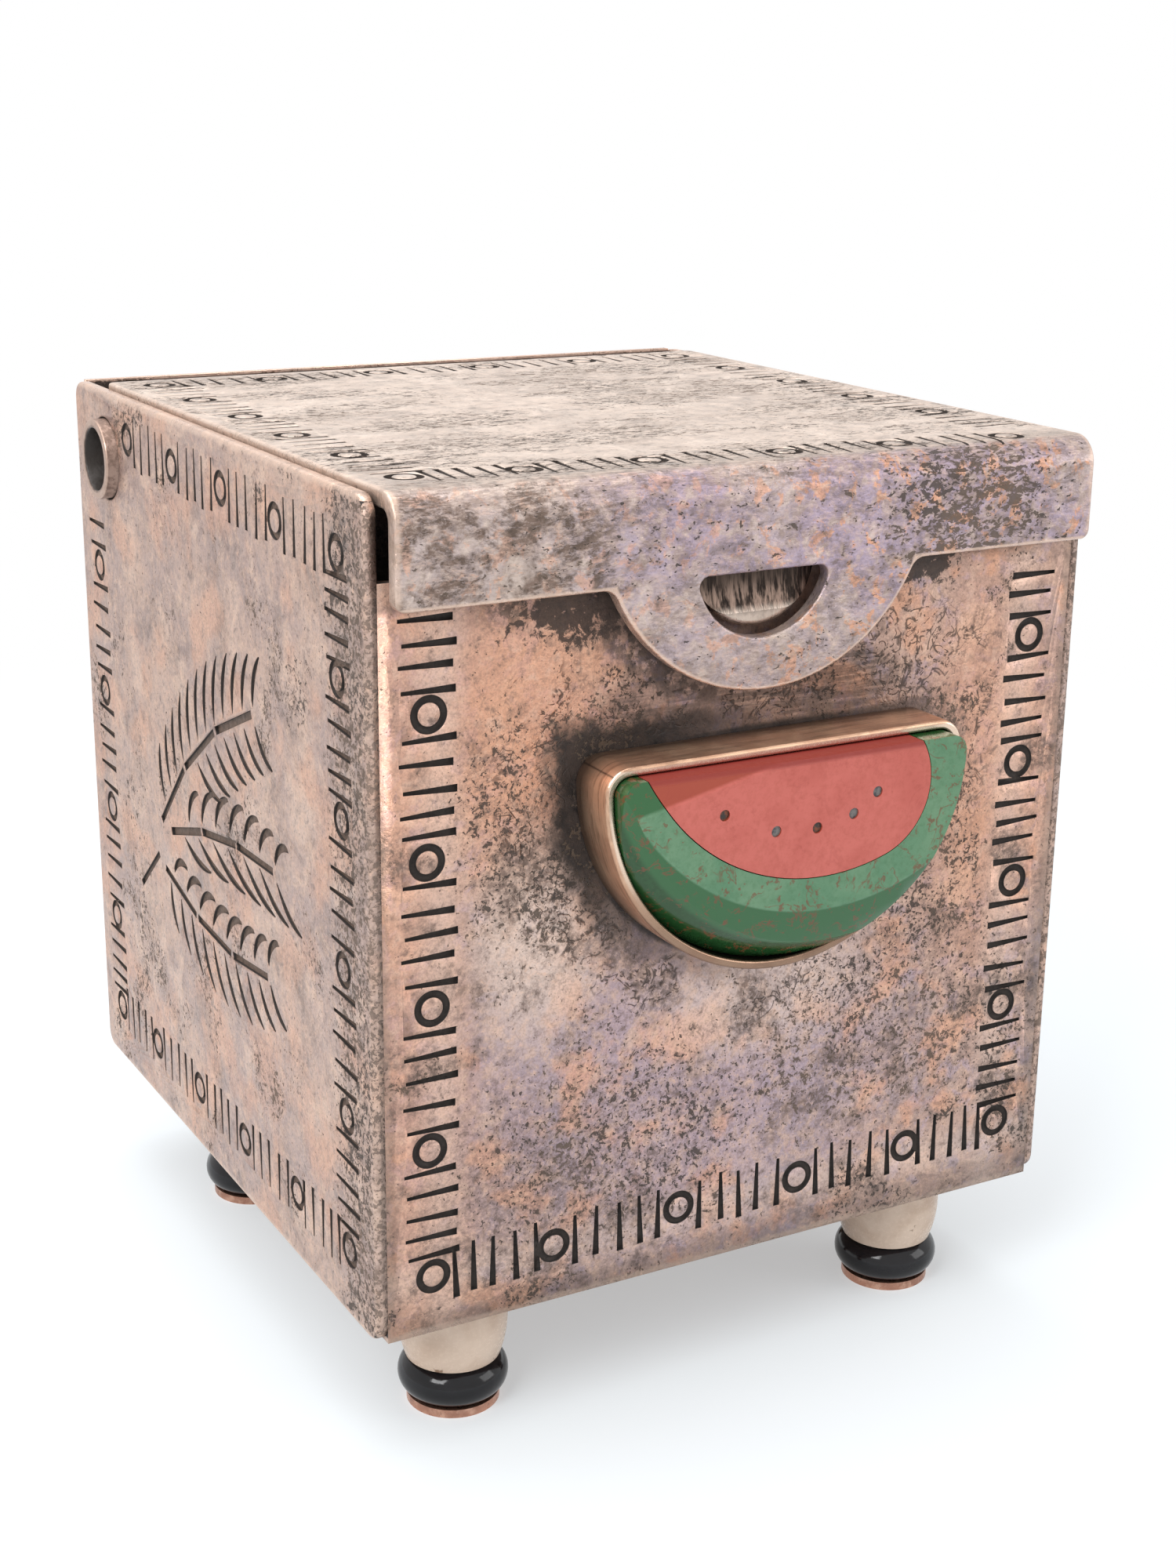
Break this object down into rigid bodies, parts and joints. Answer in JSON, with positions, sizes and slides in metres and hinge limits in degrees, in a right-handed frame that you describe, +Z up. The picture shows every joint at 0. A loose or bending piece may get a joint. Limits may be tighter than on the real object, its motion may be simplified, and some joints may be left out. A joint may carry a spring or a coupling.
{
  "type": "inlaid lidded box",
  "caption": "Small square stamped metal box with a hinged lid folded over a half-moon catch, a melon-slice stone inlay in a bezel, and bead feet.",
  "frame": {"origin": "on the floor under the centre of the box's overall bounding box", "axes": "+Z up, +X to the right seen from the front, -Y out of the front with the stone"},
  "size_m": [0.0502, 0.0546, 0.0588],
  "materials": {
    "tarnished_sheet": "tarnished, coppery, pitted",
    "lid_sheet": "tarnished, worn pale on top",
    "polished_strip": "worn bright on the edges",
    "green_stone": "polished, with brown veins",
    "red_stone": "polished",
    "seed_stone": "polished",
    "white_bead": "satin",
    "black_bead": "polished"
  },
  "bodies": {
    "case": {"front_panel": "tarnished_sheet", "back_wall": "tarnished_sheet", "left_wall": "tarnished_sheet", "right_wall": "tarnished_sheet", "base_plate": "tarnished_sheet", "hinge_tube": "polished_strip", "catch": "tarnished_sheet", "bezel": "polished_strip", "rind": "green_stone", "flesh": "red_stone", "seed_1": "seed_stone", "seed_2": "seed_stone", "seed_3": "seed_stone", "seed_4": "seed_stone", "seed_5": "seed_stone", "foot_pin_front_left": "polished_strip", "foot_pin_front_right": "polished_strip", "foot_pin_back_left": "polished_strip", "foot_pin_back_right": "polished_strip", "white_bead_front_left": "white_bead", "white_bead_front_right": "white_bead", "white_bead_back_left": "white_bead", "white_bead_back_right": "white_bead", "black_bead_front_left": "black_bead", "black_bead_front_right": "black_bead", "black_bead_back_left": "black_bead", "black_bead_back_right": "black_bead", "foot_washer_front_left": "polished_strip", "foot_washer_front_right": "polished_strip", "foot_washer_back_left": "polished_strip", "foot_washer_back_right": "polished_strip"},
    "lid": {"lid": "lid_sheet", "hinge_sleeve": "tarnished_sheet"}
  },
  "joints": [
    {"name": "lid_hinge", "type": "hinge", "parent": "case", "child": "lid", "pos_m": [0, 0.02105, 0.05395], "axis": [-1, 0, 0], "range_deg": [0, 95]}
  ]
}
